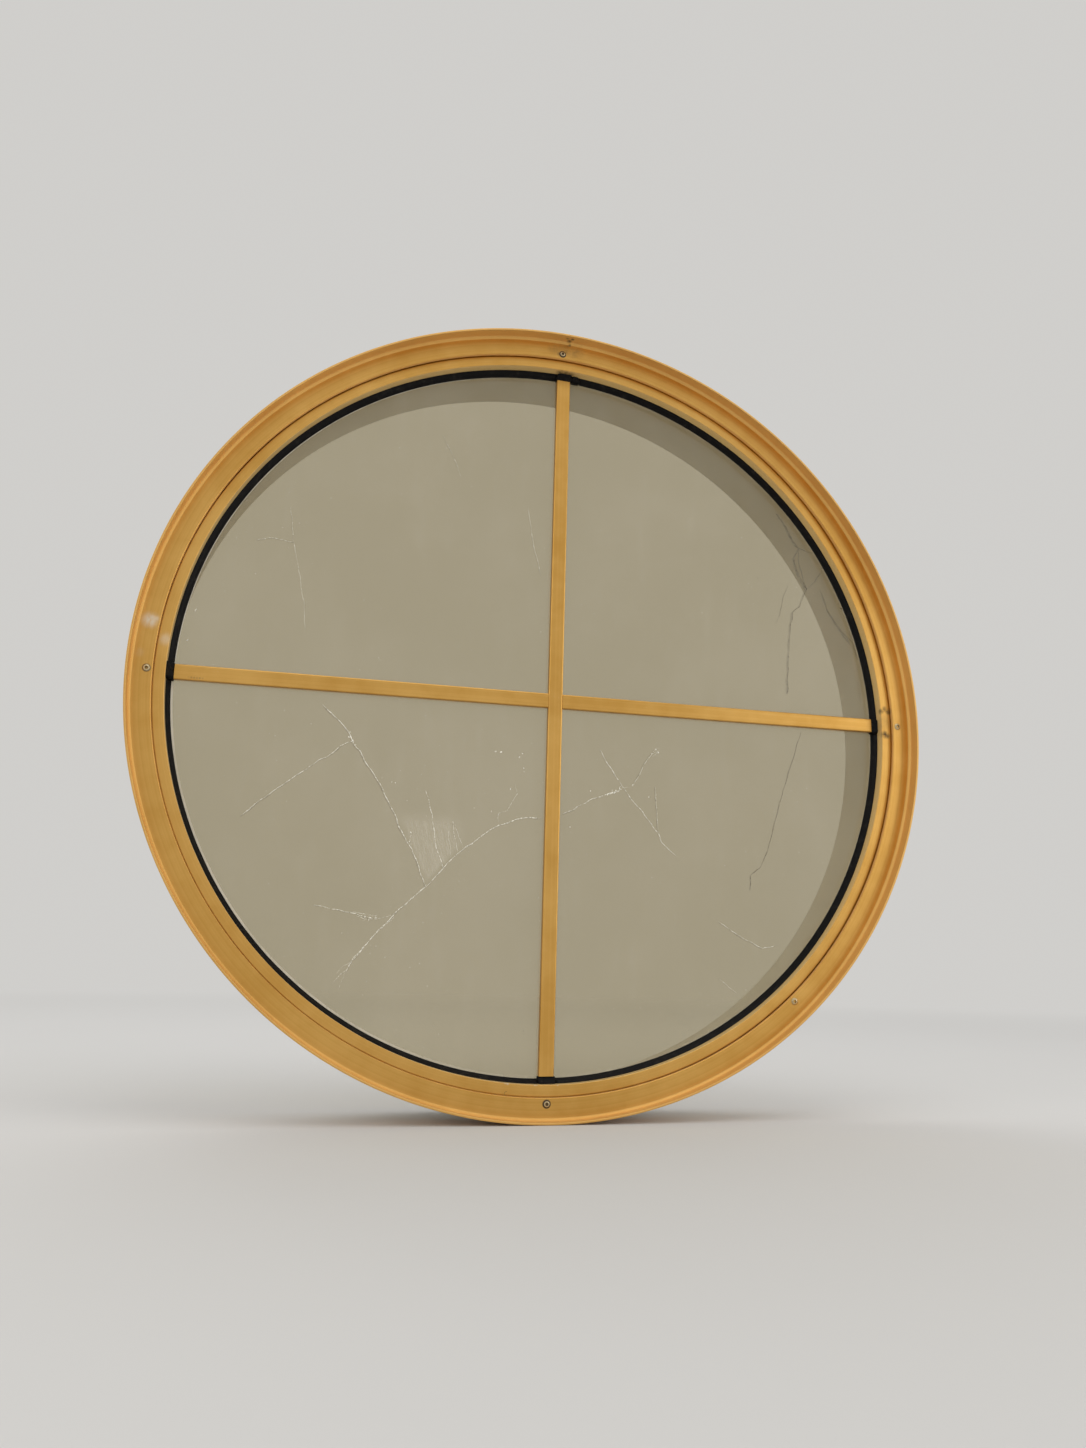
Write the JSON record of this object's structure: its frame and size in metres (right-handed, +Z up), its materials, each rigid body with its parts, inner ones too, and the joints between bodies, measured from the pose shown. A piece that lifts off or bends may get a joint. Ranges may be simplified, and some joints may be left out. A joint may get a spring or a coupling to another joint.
{
  "type": "round window",
  "caption": "Round fixed window with a gold anodised aluminium frame and bead, crossed glazing bars, cracked pane and off-white lining hoop.",
  "frame": {"origin": "on the axis of the round frame, in the plane of its flat face, which is 15 mm behind the tip of the rim", "axes": "+Y along the frame's axis from outdoors towards the room, +Z up, +X to the right as seen from outdoors"},
  "size_m": [0.8999, 0.124, 0.9],
  "materials": {
    "anodised_gold": "satin gold anodised",
    "rivet_aluminium": "dull, pale gold, dark in the mouth",
    "mill_aluminium": "mill finish",
    "steel_pins": "plain steel",
    "black_gasket": "smooth matt black",
    "black_sealant": "tooled black sealant",
    "glazing_tape": "closed-cell foam tape",
    "block_plastic": "dark hard plastic",
    "cracked_glass": "clear float glass, cracked and dusty",
    "painted_timber": "off-white paint"
  },
  "bodies": {
    "root": {"frame_ring": "anodised_gold", "bead_ring": "anodised_gold", "bead_infill": "anodised_gold", "bar_vertical": "anodised_gold", "bar_horizontal": "anodised_gold", "bead_rivets": "rivet_aluminium", "frame_joint_key": "mill_aluminium", "frame_joint_pins": "steel_pins", "gasket_upper_left": "black_gasket", "gasket_upper_right": "black_gasket", "gasket_lower_left": "black_gasket", "gasket_lower_right": "black_gasket", "sealant_left": "black_sealant", "sealant_right": "black_sealant", "sealant_top": "black_sealant", "sealant_bottom": "black_sealant", "inner_gasket": "glazing_tape", "bar_tape_vertical": "glazing_tape", "bar_tape_horizontal": "glazing_tape", "setting_blocks": "block_plastic", "edge_spacers": "block_plastic", "glass_pane": "cracked_glass", "reveal_hoop": "painted_timber"}
  },
  "joints": []
}
